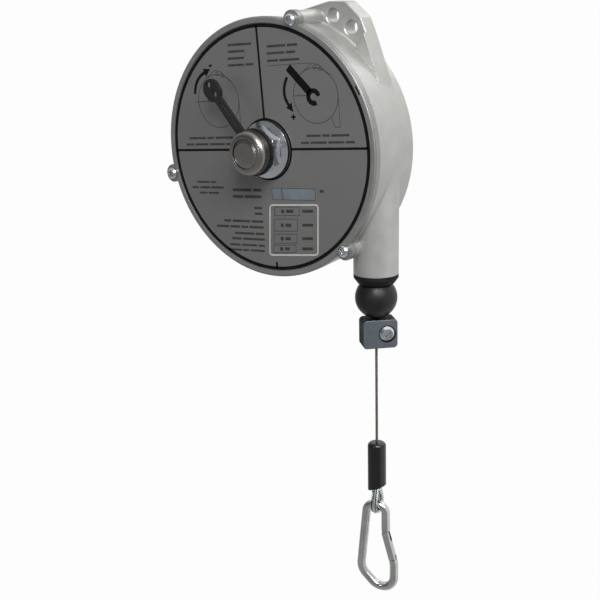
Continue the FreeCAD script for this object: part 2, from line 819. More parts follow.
def make_cover_screws():
    """Three pan head screws, each with a shallow cross recess."""
    seat = V(0, -size("cover_lip"), 0)
    length = size("screw_length") - size("fit_gap") + size("cover_lip")
    shank = size("screw_radius") - size("press_gap")
    screw = pan_head(seat, size("screw_head_radius"), size("screw_head_rise"), shank, length,
                     size("screw_cross"))
    spots = [FreeCAD.Placement(spot, FreeCAD.Rotation()) for spot in screw_spots()]
    return copies("cover_screws", screw, spots)


def make_front_bush():
    inner = "sizes.arbor_radius + sizes.running_gap"
    outer = f"{FRONT_BUSH} - sizes.press_gap / 2"
    lip = f"{FRONT_BUSH} + sizes.bush_lip"
    return turned_piece(
        "front_bush",
        [
            (inner, 0),
            (lip, 0),
            (lip, "sizes.label_thickness"),
            (outer, "sizes.label_thickness"),
            (outer, BUSH_END),
            (inner, BUSH_END),
        ],
    )


# Hub: arbor with its hexagon, release spindle, lever and end cap

HEX_BACK = "(-sizes.hub_gap - sizes.hub_flange - sizes.hub_cone)"
HEX_FRONT = f"({HEX_BACK} - sizes.hex_length)"
LEVER_BACK = f"({HEX_FRONT} - sizes.side_gap)"
LEVER_FRONT = f"({LEVER_BACK} - sizes.lever_thickness)"
CAP_BACK = LEVER_FRONT
CAP_FRONT = f"({CAP_BACK} - sizes.cap_length)"
SPINDLE_BORE = "sizes.spindle_radius + sizes.running_gap"
HUB_BORE = "sizes.arbor_radius + sizes.press_gap"
SPRING_FRONT = f"({DRUM_FRONT} + sizes.drum_lid + sizes.side_gap)"
WEB_FRONT = f"({DRUM_BACK} - sizes.drum_web)"
SPRING_BACK = f"({WEB_FRONT} - sizes.hub_stub)"


def make_arbor():
    """A hollow shaft with a thick core that the mainspring winds on."""
    return turned_piece(
        "arbor",
        [
            (SPINDLE_BORE, HEX_FRONT),
            ("sizes.arbor_radius", HEX_FRONT),
            ("sizes.arbor_radius", SPRING_FRONT),
            ("sizes.core_radius", SPRING_FRONT),
            ("sizes.core_radius", SPRING_BACK),
            ("sizes.arbor_radius", SPRING_BACK),
            ("sizes.arbor_radius", RATCHET_BACK),
            (SPINDLE_BORE, RATCHET_BACK),
        ],
    )


def make_adjusting_hub():
    """Flange, cone and hexagon in one piece, pressed on the arbor."""
    corner = size("hex_flats") / 2 / math.cos(math.radians(30))
    body = turned_piece(
        "adjusting_hub",
        [
            (HUB_BORE, "-sizes.hub_gap"),
            ("sizes.hub_flange_radius", "-sizes.hub_gap"),
            ("sizes.hub_flange_radius", "-sizes.hub_gap - sizes.hub_flange"),
            ("sizes.hex_flats / 2 + sizes.cone_shoulder", HEX_BACK),
            (HUB_BORE, HEX_BACK),
        ],
    )
    flats = hexagon(new_sketch(body, "hexagon", "XZ_Plane", HEX_FRONT), 0, 0, "sizes.hex_flats")
    pad(body, "hex_pad", flats, f"{HEX_BACK} - {HEX_FRONT} + sizes.hub_cone / 2")
    before = f"{HEX_FRONT} - sizes.hex_chamfer"
    bore = ring(new_sketch(body, "hub_bore", "XZ_Plane", before), 0, 0, HUB_BORE)
    pocket(body, "hub_hole", bore, f"-({before})")
    start = "sizes.hex_flats / 2 - sizes.hex_chamfer_in"
    outside = corner + size("hex_chamfer")
    chamfer = outline(
        new_sketch(body, "hex_chamfer_profile", "XY_Plane"),
        [(start, HEX_FRONT), (outside, f"{HEX_FRONT} + sizes.hex_chamfer"), (outside, before), (start, before)],
    )
    bore_out(body, "hex_front_chamfer", chamfer)
    return body


def make_lever():
    """A flat lever: a ring on the spindle, a slotted arm and an eye with two holes."""
    body = new_body("release_lever")
    back = LEVER_FRONT
    disc = ring(new_sketch(body, "lever_disc", "XZ_Plane", back), 0, 0, "sizes.lever_ring_radius")
    pad(body, "lever_ring", disc, "sizes.lever_thickness")
    arm = outline(
        new_sketch(body, "lever_arm_outline", "XZ_Plane", back),
        [
            (0, "-sizes.lever_width / 2"),
            ("sizes.lever_reach", "-sizes.lever_width / 2"),
            ("sizes.lever_reach", "sizes.lever_width / 2"),
            (0, "sizes.lever_width / 2"),
        ],
    )
    pad(body, "lever_arm", arm, "sizes.lever_thickness")
    half = "(sizes.eye_length - sizes.eye_width) / 2"
    eye = outline(
        new_sketch(body, "lever_eye_outline", "XZ_Plane", back),
        [
            (f"sizes.lever_reach - {half}", "-sizes.eye_width / 2"),
            (f"sizes.lever_reach + {half}", "-sizes.eye_width / 2", "sizes.eye_width / 2 + 0.001", -1),
            (f"sizes.lever_reach + {half}", "sizes.eye_width / 2"),
            (f"sizes.lever_reach - {half}", "sizes.eye_width / 2", "sizes.eye_width / 2 + 0.001", -1),
        ],
    )
    pad(body, "lever_eye", eye, "sizes.lever_thickness")
    root = "sizes.lever_ring_radius + sizes.slot_root"
    tip = "sizes.lever_reach - sizes.eye_length / 2 - sizes.slot_end"
    half = "sizes.lever_slot / 2"
    before = f"{back} - sizes.lever_thickness"
    through = "3 * sizes.lever_thickness"
    slot = new_sketch(body, "lever_slot_outline", "XZ_Plane", before)
    outline(slot, [(root, f"-{half}"), (tip, f"-{half}"), (tip, half), (root, half)])
    pocket(body, "lever_window", slot, through)
    for number, side in enumerate(("-", "+")):
        hole = new_sketch(body, f"eye_hole_{number}_circle", "XZ_Plane", before)
        across = f"sizes.lever_reach {side} sizes.eye_length / 4 + sizes.eye_hole_shift"
        ring(hole, across, 0, "sizes.eye_hole_radius")
        pocket(body, f"eye_hole_{number}", hole, through)
    bore = new_sketch(body, "lever_bore_circle", "XZ_Plane", before)
    ring(bore, 0, 0, "sizes.spindle_radius + sizes.press_gap")
    pocket(body, "lever_bore", bore, through)
    return place(body, HUB, V(0, -1, 0), "sizes.lever_angle")


def make_spindle():
    """A long pin with the release cam near its back end."""
    front = worked_out(f"{CAP_BACK} - sizes.spindle_grip")
    back = worked_out(f"{BOSS_FLOOR} - sizes.side_gap")
    pin = Part.makeCylinder(size("spindle_radius"), back - front, V(0, front, 0), V(0, 1, 0))
    cam_front, thick = worked_out(CAM_FRONT), size("cam_thickness")
    disc = Part.makeCylinder(size("cam_radius"), thick, V(0, cam_front, 0), V(0, 1, 0))
    nose_at = about_hub(size("cam_nose_reach"), size("cam_nose_angle"), cam_front)
    nose = Part.makeCylinder(size("cam_nose_radius"), thick, nose_at, V(0, 1, 0))
    return shaped("release_spindle", pin.fuse([disc, nose]).removeSplitter())


CAP_FLOOR = f"({CAP_FRONT} + sizes.cap_recess)"


def make_cap():
    """A domed cap pressed on the spindle, with a round recess for its screw."""
    grip = f"{CAP_BACK} - sizes.spindle_grip - sizes.running_gap"
    bore = "sizes.spindle_radius + sizes.press_gap"
    shank = "sizes.cap_screw_shank + sizes.fit_gap"
    return turned_piece(
        "end_cap",
        [
            (bore, CAP_BACK),
            ("sizes.cap_radius - sizes.cap_edge", CAP_BACK),
            ("sizes.cap_radius", f"{CAP_BACK} - sizes.cap_edge"),
            ("sizes.cap_radius", f"{CAP_FRONT} + sizes.cap_round", "sizes.cap_round", 1),
            ("sizes.cap_radius - sizes.cap_round", CAP_FRONT),
            ("sizes.cap_face_radius", CAP_FRONT),
            ("sizes.cap_face_radius", CAP_FLOOR),
            (shank, CAP_FLOOR),
            (shank, grip),
            (bore, grip),
        ],
    )


def make_cap_screw():
    """A flat headed screw that fills the cap's recess and meets the spindle's end."""
    end = f"{CAP_BACK} - sizes.spindle_grip - 2 * sizes.running_gap"
    top = f"{CAP_FLOOR} - sizes.cap_screw_rise"
    return turned_piece(
        "cap_screw",
        [
            (0, end),
            ("sizes.cap_screw_shank", end),
            ("sizes.cap_screw_shank", CAP_FLOOR),
            ("sizes.cap_screw_radius", CAP_FLOOR),
            ("sizes.cap_screw_radius", f"{CAP_FLOOR} - sizes.cap_screw_rim"),
            ("sizes.cap_screw_radius - sizes.cap_screw_slope", top),
            (0, top),
        ],
    )


def make_rear_bush():
    outer = f"{REAR_BUSH} - sizes.press_gap / 2"
    front = "sizes.case_depth - sizes.back_wall"
    return turned_piece(
        "rear_bush",
        [(SPINDLE_BORE, front), (outer, front), (outer, BOSS_FLOOR), (SPINDLE_BORE, BOSS_FLOOR)],
    )


# Drum: a conical rope drum with a groove for every turn, its lid, bushes and spring


def groove_radius(turn_number):
    """The radius of the rope's middle in one turn: it grows towards the back."""
    return worked_out(ROPE_ACROSS) + size("groove_growth") * turn_number


def groove_depth_at(turn_number):
    return worked_out(ROPE_DEPTH) + size("groove_pitch") * turn_number


DRUM_BUSH = "(sizes.arbor_radius + sizes.running_gap + sizes.bush_wall)"
DRUM_BORE = f"({ROPE_ACROSS} - sizes.drum_wall)"
LID_SEAT = f"({DRUM_BORE} + sizes.lid_seat)"
STUB_FRONT = f"({SPRING_BACK} + sizes.side_gap)"


def groove_outline():
    """The corners of the rope's grooves, from the first turn to the last."""
    half = size("groove_pitch") / 2
    corners = []
    for number in range(int(size("groove_turns"))):
        middle = groove_depth_at(number)
        floor = groove_radius(number) - size("rope_radius") - size("groove_gap")
        crest = floor + size("groove_depth")
        corners.append((crest, middle - half * 0.92))
        corners.append((floor, middle - half * 0.58))
        corners.append((floor, middle + half * 0.58))
        corners.append((crest, middle + half * 0.92))
    return corners


def make_drum():
    turns = int(size("groove_turns"))
    first = groove_depth_at(0) - size("groove_pitch") / 2
    last = groove_depth_at(turns - 1) + size("groove_pitch") / 2
    neck = f"{LID_SEAT} + sizes.drum_rim"
    front_rim = groove_radius(0) + size("flange_height")
    rim = groove_radius(turns - 1) + size("flange_height")
    lid_back = f"{DRUM_FRONT} + sizes.drum_lid"
    corners = [
        (LID_SEAT, DRUM_FRONT),
        (neck, DRUM_FRONT),
        (neck, first - 2 * size("flange_width")),
        (front_rim, first - size("flange_width")),
        (front_rim, first),
        *groove_outline(),
        (rim, last),
        (rim, DRUM_BACK),
        (DRUM_BUSH, DRUM_BACK),
        (DRUM_BUSH, STUB_FRONT),
        ("sizes.drum_hub_radius", STUB_FRONT),
        ("sizes.drum_hub_radius", WEB_FRONT),
        (DRUM_BORE, WEB_FRONT),
        (DRUM_BORE, lid_back),
        (LID_SEAT, lid_back),
    ]
    body = turned_piece("cable_drum", corners)
    circle = worked_out(f"(sizes.drum_hub_radius + {DRUM_BORE}) / 2")
    for number in range(int(size("window_count"))):
        spot = about_hub(circle, 360 / size("window_count") * number)
        hole = new_sketch(body, f"window_{number}", "XZ_Plane", SPRING_BACK)
        ring(hole, spot.x, spot.z, "sizes.window_radius")
        pocket(body, f"web_window_{number}", hole, f"2 * ({DRUM_BACK} - {SPRING_BACK})")
    for number, spot in enumerate(lid_screw_spots()):
        hole = new_sketch(body, f"lid_screw_circle_{number}", "XZ_Plane", DRUM_FRONT)
        ring(hole, spot.x, spot.z, "sizes.lid_screw_radius + sizes.press_gap")
        pocket(body, f"lid_screw_hole_{number}", hole, "sizes.lid_screw_length")
    seat = new_sketch(body, "nipple_circle", "YZ_Plane", nipple_top() - size("nipple_length") - size("fit_gap"))
    ring(seat, groove_depth_at(turns - 1), 0, "sizes.nipple_radius + sizes.fit_gap")
    pocket(body, "nipple_seat", seat, "2 * sizes.nipple_length + 2 * sizes.rope_radius")
    return body


def lid_screw_spots():
    """The middles of the screws that hold the lid on the drum."""
    count = int(size("lid_screw_count"))
    reach = worked_out(f"{DRUM_BORE} + sizes.lid_seat / 2")
    return [about_hub(reach, 360 / count * (number + 0.5)) for number in range(count)]


def make_drum_lid():
    edge = f"{LID_SEAT} - sizes.fit_gap"
    boss = f"{DRUM_FRONT} - sizes.lid_boss"
    body = turned_piece(
        "drum_lid",
        [
            (DRUM_BUSH, boss),
            ("sizes.drum_hub_radius", boss),
            ("sizes.drum_hub_radius", DRUM_FRONT),
            (edge, DRUM_FRONT),
            (edge, f"{DRUM_FRONT} + sizes.drum_lid"),
            (DRUM_BUSH, f"{DRUM_FRONT} + sizes.drum_lid"),
        ],
    )
    for number, spot in enumerate(lid_screw_spots()):
        hole = new_sketch(body, f"lid_hole_circle_{number}", "XZ_Plane", boss)
        ring(hole, spot.x, spot.z, "sizes.lid_screw_radius + sizes.fit_gap")
        pocket(body, f"lid_hole_{number}", hole, "2 * (sizes.lid_boss + sizes.drum_lid)")
    return body


def make_lid_screws():
    """Six small pan head screws round the drum's lid."""
    front = worked_out(DRUM_FRONT)
    length = size("lid_screw_length") - size("fit_gap")
    head = Part.makeCylinder(size("lid_head_radius"), size("lid_head_rise"), V(0, front, 0), V(0, -1, 0))
    shank = Part.makeCylinder(size("lid_screw_radius"), length, V(0, front, 0), V(0, 1, 0))
    screw = head.fuse(shank).removeSplitter()
    spots = [FreeCAD.Placement(spot, FreeCAD.Rotation()) for spot in lid_screw_spots()]
    return copies("lid_screws", screw, spots)


def make_drum_bushes():
    """Two plain bronze bushes, one in the lid and one in the drum's own hub."""
    inner = size("arbor_radius") + size("running_gap")
    outer = worked_out(DRUM_BUSH) - size("press_gap") / 2
    lid = (f"{DRUM_FRONT} - sizes.lid_boss", f"{DRUM_FRONT} + sizes.drum_lid")
    solids = []
    for start, end in (lid, (STUB_FRONT, DRUM_BACK)):
        low, high = worked_out(start), worked_out(end)
        tube = Part.makeCylinder(outer, high - low, V(0, low, 0), V(0, 1, 0))
        hole = Part.makeCylinder(inner, high - low, V(0, low, 0), V(0, 1, 0))
        solids.append(tube.cut(hole))
    return shaped("drum_bushes", Part.Compound(solids))


def make_mainspring():
    """A flat strip wound in an even spiral, its outer end bent out to the drum's wall."""
    wall = worked_out(DRUM_BORE)
    turns, strip = size("spring_turns"), size("spring_strip")
    inner = size("core_radius") + size("spring_core_gap")
    growth = (wall - size("spring_wall_gap") - strip - inner) / turns
    depth = worked_out(SPRING_FRONT)
    steps = int(turns * 12)
    near, far = [], []
    for step in range(steps + 1):
        wound = turns * step / steps
        near.append(about_hub(inner + growth * wound, 360 * wound, depth))
        far.append(about_hub(inner + growth * wound + strip, 360 * wound, depth))
    end = 360 * turns + 10
    near.append(about_hub(wall - strip - size("running_gap"), end, depth))
    far.append(about_hub(wall - size("running_gap"), end, depth))
    loop = Part.makePolygon(near + far[::-1] + near[:1])
    width = worked_out(f"{SPRING_BACK} - {SPRING_FRONT}")
    return shaped("mainspring", Part.Face(loop).extrude(V(0, width, 0)))


def make_wound_rope():
    """The turns that stay on the drum at rest, each an eight sided ring in its groove."""
    half = size("rope_radius") / math.cos(math.pi / 8)
    rings = []
    for number in range(1, int(size("groove_turns"))):
        middle, depth = groove_radius(number), groove_depth_at(number)
        corners = []
        for corner in range(8):
            angle = math.pi / 8 + corner * math.pi / 4
            corners.append(V(middle + half * math.cos(angle), depth + half * math.sin(angle), 0))
        section = Part.Face(Part.makePolygon(corners + corners[:1]))
        rings.append(section.revolve(V(0, 0, 0), V(0, 1, 0), 360))
    return shaped("wound_rope", Part.Compound(rings))


def nipple_top():
    """The radius of the nipple's outer end, just under the last two turns."""
    return groove_radius(int(size("groove_turns")) - 2) - size("rope_radius") - size("nipple_cover")


def make_nipple():
    start = V(nipple_top() - size("nipple_length"), groove_depth_at(int(size("groove_turns")) - 1), 0)
    pin = Part.makeCylinder(size("nipple_radius"), size("nipple_length"), start, V(1, 0, 0))
    return shaped("rope_nipple", pin)


# Ratchet: the wheel on the arbor, the pawl on its pin and the finger that the cam lifts


def make_ratchet():
    """A toothed wheel; each tooth's steep side leans back as far as the pawl's tip swings."""
    teeth = int(size("ratchet_teeth"))
    tip, root = size("ratchet_radius"), size("ratchet_radius") - size("tooth_height")
    pitch = 360 / teeth
    corners = []
    for tooth in range(teeth):
        start = tooth_start() + tooth * pitch
        corners.append(about_hub(root, start))
        corners.append(about_hub(tip, start + size("tooth_lean")))
        corners.append(about_hub((tip + root) / 2, start + pitch * 0.55))
    body = new_body("ratchet_wheel")
    wheel = new_sketch(body, "tooth_outline", "XZ_Plane", RATCHET_FRONT)
    outline(wheel, [(c.x, c.z) for c in corners])
    pad(body, "toothed_disc", wheel, "sizes.ratchet_thickness")
    hole = new_sketch(body, "wheel_bore_circle", "XZ_Plane", DRUM_BACK)
    ring(hole, 0, 0, HUB_BORE)
    pocket(body, "wheel_bore", hole, f"{CAM_FRONT} - {DRUM_BACK}")
    return place(body, HUB)


def tooth_start():
    """The angle of the tooth face that the pawl's tip stands against."""
    radius = size("ratchet_radius") - size("tooth_height") / 2
    return math.degrees(math.acos(size("pawl_tip_across") / radius)) + 2.0


def make_pawl():
    """A pawl with a slanted tip on the wheel, a boss on its pin and a finger over the cam."""
    body = new_body("pawl")
    tooth = size("tooth_height")
    low_radius = size("ratchet_radius") - tooth + size("side_gap") + 0.2
    face = tooth_start() - size("pawl_tip_gap")
    lean = size("tooth_lean") * size("pawl_tip_height") / tooth
    low = about_hub(low_radius, face)
    high = about_hub(low_radius + size("pawl_tip_height"), face + lean)
    pivot = V(worked_out(PAWL_PIVOT[0]), 0, worked_out(PAWL_PIVOT[1]))
    along = (pivot - low).normalize()
    across = V(-along.z, 0, along.x)
    under = low + along * (2 * tooth) + across * (0.8 * tooth)
    heel = pivot - across
    back = pivot + across * (size("pawl_boss_radius") - 1)
    arm = new_sketch(body, "pawl_outline", "XZ_Plane", RATCHET_FRONT)
    outline(arm, [(point.x, point.z) for point in (low, under, heel, back, high)])
    pad(body, "pawl_arm", arm, "sizes.ratchet_thickness")
    boss = new_sketch(body, "pawl_boss_circle", "XZ_Plane", RATCHET_FRONT)
    ring(boss, *PAWL_PIVOT, "sizes.pawl_boss_radius")
    pad(body, "pawl_boss", boss, f"{CAM_BACK} - {RATCHET_FRONT}")
    finger = new_sketch(body, "finger_outline", "XZ_Plane", CAM_FRONT)
    lowest = "sizes.cam_radius + sizes.finger_gap"
    outline(
        finger,
        [
            (0, lowest),
            (PAWL_PIVOT[0], f"{PAWL_PIVOT[1]} - sizes.pawl_boss_radius + 2"),
            (PAWL_PIVOT[0], f"{PAWL_PIVOT[1]} + sizes.pawl_boss_radius - 4"),
            (0, f"{lowest} + sizes.finger_width"),
        ],
    )
    pad(body, "release_finger", finger, "sizes.cam_thickness")
    hole = new_sketch(body, "pawl_bore_circle", "XZ_Plane", DRUM_BACK)
    ring(hole, *PAWL_PIVOT, "sizes.pawl_pin_radius + sizes.running_gap")
    pocket(body, "pawl_bore", hole, f"sizes.case_depth - {DRUM_BACK}")
    return place(body, HUB)


def make_pawl_pin():
    """The pawl's pin, pressed into the back wall."""
    body = new_body("pawl_pin")
    pin = new_sketch(body, "pin_circle", "XZ_Plane", RATCHET_FRONT)
    ring(pin, *PAWL_PIVOT, "sizes.pawl_pin_radius")
    pad(body, "pin", pin, f"{CAM_BACK} + sizes.cam_gap + sizes.pawl_pin_seat - {RATCHET_FRONT}")
    return place(body, HUB)


# Rope line: guide bush, stop ball, clamp and the rope itself


BALL_DOWN = "(sizes.spout_bottom + sizes.ball_drop)"


def make_guide_bush():
    """A flanged bush in the spout, its mouth hollowed to a seat for the stop ball."""
    top = "-sizes.spout_bottom + sizes.bush_length"
    lip = "-sizes.spout_bottom - sizes.bush_flange"
    foot = f"{lip} - sizes.bush_cup_height"
    ball = worked_out(BALL_DOWN)
    seat = size("ball_radius") + size("side_gap")
    cup = math.sqrt(seat**2 - (ball + worked_out(foot)) ** 2)
    ceiling = -ball + math.sqrt(seat**2 - size("bush_bore") ** 2)
    outer = "sizes.spout_bore - sizes.running_gap"
    return turned_piece(
        "guide_bush",
        [
            ("sizes.bush_bore", ceiling),
            ("sizes.bush_bore", f"{top} - 2 * sizes.bush_bore"),
            (f"{outer} - sizes.bush_flange", top),
            (outer, top),
            (outer, "-sizes.spout_bottom"),
            ("sizes.spout_radius", "-sizes.spout_bottom"),
            ("sizes.spout_radius", lip),
            ("sizes.bush_cup_radius", foot),
            (cup, foot, seat, -1),
        ],
        ROPE,
        "XZ_Plane",
    )


def make_ball():
    bore = f"sizes.rope_radius + sizes.ball_bore_gap"
    rim = math.sqrt(size("ball_radius") ** 2 - worked_out(bore) ** 2)
    low, high = -worked_out(BALL_DOWN) - rim, -worked_out(BALL_DOWN) + rim
    corners = [(bore, low, "sizes.ball_radius", -1), (bore, high)]
    return turned_piece("stop_ball", corners, ROPE, "XZ_Plane")


CLAMP_TOP = f"(-{BALL_DOWN} - sizes.ball_radius - sizes.clamp_gap)"
CLAMP_MIDDLE = f"({CLAMP_TOP} - sizes.clamp_height / 2)"
CLAMP_BOTTOM = f"({CLAMP_TOP} - sizes.clamp_height)"
CLAMP_FACE = "(sizes.clamp_split / 2 + sizes.clamp_half)"
NUT_FRONT = f"({CLAMP_FACE} + sizes.clamp_nut_stand - sizes.clamp_nut_thickness)"


def clamp_half(label, front):
    """One half of the clamp: a rounded plate with half of the rope's channel in its face."""
    body = new_body(label)
    left = "-sizes.clamp_width / 2 + sizes.clamp_offset"
    right = "sizes.clamp_width / 2 + sizes.clamp_offset"
    start = f"-{CLAMP_FACE}" if front else "sizes.clamp_split / 2"
    before = f"{start} - sizes.clamp_recess"
    through = "2 * (sizes.clamp_half + sizes.clamp_recess)"
    plate = new_sketch(body, f"{label}_outline", "XZ_Plane", start)
    outline(plate, [(left, CLAMP_BOTTOM), (right, CLAMP_BOTTOM), (right, CLAMP_TOP), (left, CLAMP_TOP)])
    pad(body, f"{label}_plate", plate, "sizes.clamp_half")
    spots = [(worked_out(x), worked_out(z)) for x in (left, right) for z in (CLAMP_BOTTOM, CLAMP_TOP)]
    round_edges(body, f"{label}_corners", "sizes.clamp_round", lambda edge: upright_at(edge, spots))
    outer = worked_out(CLAMP_FACE) * (-1 if front else 1)
    round_edges(body, f"{label}_rim", "sizes.clamp_edge", lambda edge: flat_at(edge, outer))
    channel = new_sketch(body, f"{label}_channel_circle", "XY_Plane", f"{CLAMP_BOTTOM} - 1")
    ring(channel, 0, 0, "sizes.rope_radius + sizes.press_gap")
    pocket(body, f"{label}_channel", channel, "sizes.clamp_height + 2")
    hole = new_sketch(body, f"{label}_bolt_circle", "XZ_Plane", before)
    ring(hole, "sizes.clamp_screw_across", CLAMP_MIDDLE, "sizes.clamp_screw_radius + sizes.fit_gap")
    pocket(body, f"{label}_bolt_hole", hole, through)
    if front:
        recess = new_sketch(body, f"{label}_recess_circle", "XZ_Plane", before)
        rim = "sizes.clamp_head_radius + sizes.clamp_recess_rim"
        ring(recess, "sizes.clamp_screw_across", CLAMP_MIDDLE, rim)
        pocket(body, f"{label}_recess", recess, "2 * sizes.clamp_recess")
    else:
        recess = new_sketch(body, f"{label}_recess_outline", "XZ_Plane", NUT_FRONT)
        hexagon(recess, "sizes.clamp_screw_across", CLAMP_MIDDLE, "sizes.clamp_nut_flats + sizes.fit_gap")
        pocket(body, f"{label}_recess", recess, "sizes.clamp_nut_thickness")
    return place(body, ROPE, turn="sizes.clamp_turn")


def flat_at(edge, depth):
    """Whether an edge lies wholly in the plane at one depth."""
    return all(abs(vertex.Point.y - depth) < 1e-4 for vertex in edge.Vertexes)


def make_clamp_screw():
    face = worked_out(CLAMP_FACE)
    seat = V(size("clamp_screw_across"), size("clamp_recess") - face, worked_out(CLAMP_MIDDLE))
    screw = pan_head(seat, size("clamp_head_radius"), size("clamp_head_rise"), size("clamp_screw_radius"),
                     face - seat.y, size("clamp_cross"))
    return shaped("clamp_screw", screw, ROPE, turn="sizes.clamp_turn")


def make_clamp_nut():
    body = new_body("clamp_nut")
    nut = new_sketch(body, "nut_outline", "XZ_Plane", NUT_FRONT)
    hexagon(nut, "sizes.clamp_screw_across", CLAMP_MIDDLE, "sizes.clamp_nut_flats")
    pad(body, "nut", nut, "sizes.clamp_nut_thickness")
    hole = new_sketch(body, "nut_bore_circle", "XZ_Plane", "sizes.clamp_split / 2")
    ring(hole, "sizes.clamp_screw_across", CLAMP_MIDDLE, "sizes.clamp_screw_radius + sizes.press_gap")
    pocket(body, "nut_bore", hole, "sizes.clamp_half + sizes.clamp_nut_thickness")
    return place(body, ROPE, turn="sizes.clamp_turn")


def rope_length(label, top, bottom):
    """A straight length of the rope on its own line."""
    body = new_body(label)
    section = ring(new_sketch(body, f"{label}_section", "XY_Plane", bottom), 0, 0, "sizes.rope_radius")
    pad(body, f"{label}_run", section, f"({top}) - ({bottom})")
    return place(body, ROPE)


# Rope end: sleeve, ferrule, thimble and the rope's eye round it

SLEEVE_TOP = f"({CLAMP_BOTTOM} - sizes.rope_run)"
FERRULE_TOP = f"({SLEEVE_TOP} - sizes.ferrule_inset)"
FERRULE_MIDDLE = f"({FERRULE_TOP} - sizes.ferrule_length / 2)"
FERRULE_END = f"({FERRULE_TOP} - sizes.ferrule_length)"
THIMBLE_TIP = f"({FERRULE_END} - sizes.thimble_gap)"
THIMBLE_END = f"({THIMBLE_TIP} - sizes.thimble_length)"


def make_sleeve():
    """A rubber sleeve over the ferrule, its lower end cut on a slant."""
    bottom = f"{SLEEVE_TOP} - sizes.sleeve_length"
    bore = "sizes.rope_radius + sizes.running_gap"
    inner = "sizes.sleeve_radius - sizes.sleeve_wall"
    body = turned_piece(
        "rope_sleeve",
        [
            (bore, SLEEVE_TOP),
            ("sizes.sleeve_radius - sizes.sleeve_round", SLEEVE_TOP, "sizes.sleeve_round", 1),
            ("sizes.sleeve_radius", f"{SLEEVE_TOP} - sizes.sleeve_round"),
            ("sizes.sleeve_radius", bottom),
            ("sizes.sleeve_radius - sizes.sleeve_edge", bottom),
            (inner, f"{bottom} + sizes.sleeve_flare"),
            (inner, f"{FERRULE_TOP} + sizes.side_gap"),
            (bore, f"{FERRULE_TOP} + sizes.side_gap + sizes.sleeve_round"),
        ],
        ROPE,
        "XZ_Plane",
    )
    outside = "sizes.sleeve_radius + 1"
    slant = new_sketch(body, "slant_outline", "XZ_Plane", f"-({outside})")
    low, high = f"{bottom} - 1", f"{bottom} + sizes.sleeve_slant"
    outline(slant, [(f"-({outside})", low), (outside, low), (outside, high)])
    pocket(body, "slant_cut", slant, f"2 * ({outside})")
    return place(body, ROPE, turn="sizes.hook_turn")


def make_ferrule():
    """An oval aluminium ferrule pressed over both lengths of the rope."""
    body = new_body("ferrule")
    radius, spread = "sizes.ferrule_radius", "sizes.ferrule_spread"
    oval = outline(
        new_sketch(body, "ferrule_outline", "XY_Plane", FERRULE_END),
        [
            (f"-{radius}", 0),
            (f"-{radius}", spread, f"{radius} + 0.001", 1),
            (radius, spread),
            (radius, 0, f"{radius} + 0.001", 1),
        ],
    )
    pad(body, "ferrule_block", oval, "sizes.ferrule_length")
    for number, spot in enumerate((0, spread)):
        hole = new_sketch(body, f"ferrule_hole_{number}", "XY_Plane", THIMBLE_TIP)
        ring(hole, 0, spot, "sizes.eye_rope_radius + sizes.press_gap")
        pocket(body, f"ferrule_bore_{number}", hole, "2 * (sizes.ferrule_length + sizes.thimble_gap)")
    return place(body, ROPE, turn="sizes.hook_turn")


def teardrop(tip, middle, radius, opening):
    """An open loop from one side of a tip, round a circle and back to the tip's other side."""
    start = V(0, -opening, tip)
    far = math.hypot(opening, tip - middle)
    bearing = math.atan2(tip - middle, -opening)
    spread = math.acos(radius / far)
    touch = V(0, radius * math.cos(bearing + spread), middle + radius * math.sin(bearing + spread))
    mirror = V(0, -touch.y, touch.z)
    edges = [
        Part.LineSegment(start, touch).toShape(),
        Part.Arc(touch, V(0, 0, middle - radius), mirror).toShape(),
        Part.LineSegment(mirror, V(0, opening, tip)).toShape(),
    ]
    return Part.Wire(edges)


def make_thimble():
    """A channel of bent sheet that runs round the eye, its hollow side outwards."""
    eye, metal = size("thimble_eye_radius"), size("thimble_sheet")
    middle = worked_out(THIMBLE_END) + eye
    half, rise = size("thimble_width") / 2, size("thimble_flange")
    path = teardrop(worked_out(THIMBLE_TIP), middle, eye, metal * 0.44)
    start = path.Edges[0].Vertexes[0].Point
    along = path.Edges[0].tangentAt(path.Edges[0].FirstParameter)
    outward = V(0, -abs(along.z), math.copysign(along.y, along.y * along.z))
    across = V(1, 0, 0)
    one_side = [
        (half - metal * 1.1, 0.0),
        (half, metal * 0.6),
        (half, metal + rise),
        (half - metal * 0.7, metal + rise),
        (half - metal * 0.9, metal * 1.55),
        (half - metal * 1.6, metal),
    ]
    profile = one_side + [(-sideways, lift) for sideways, lift in reversed(one_side)]
    corners = [start + across * sideways + outward * lift for sideways, lift in profile]
    section = Part.makePolygon(corners + corners[:1])
    bent = path.makePipeShell([section], True, False)
    return shaped("thimble", bent, ROPE, turn="sizes.hook_turn")


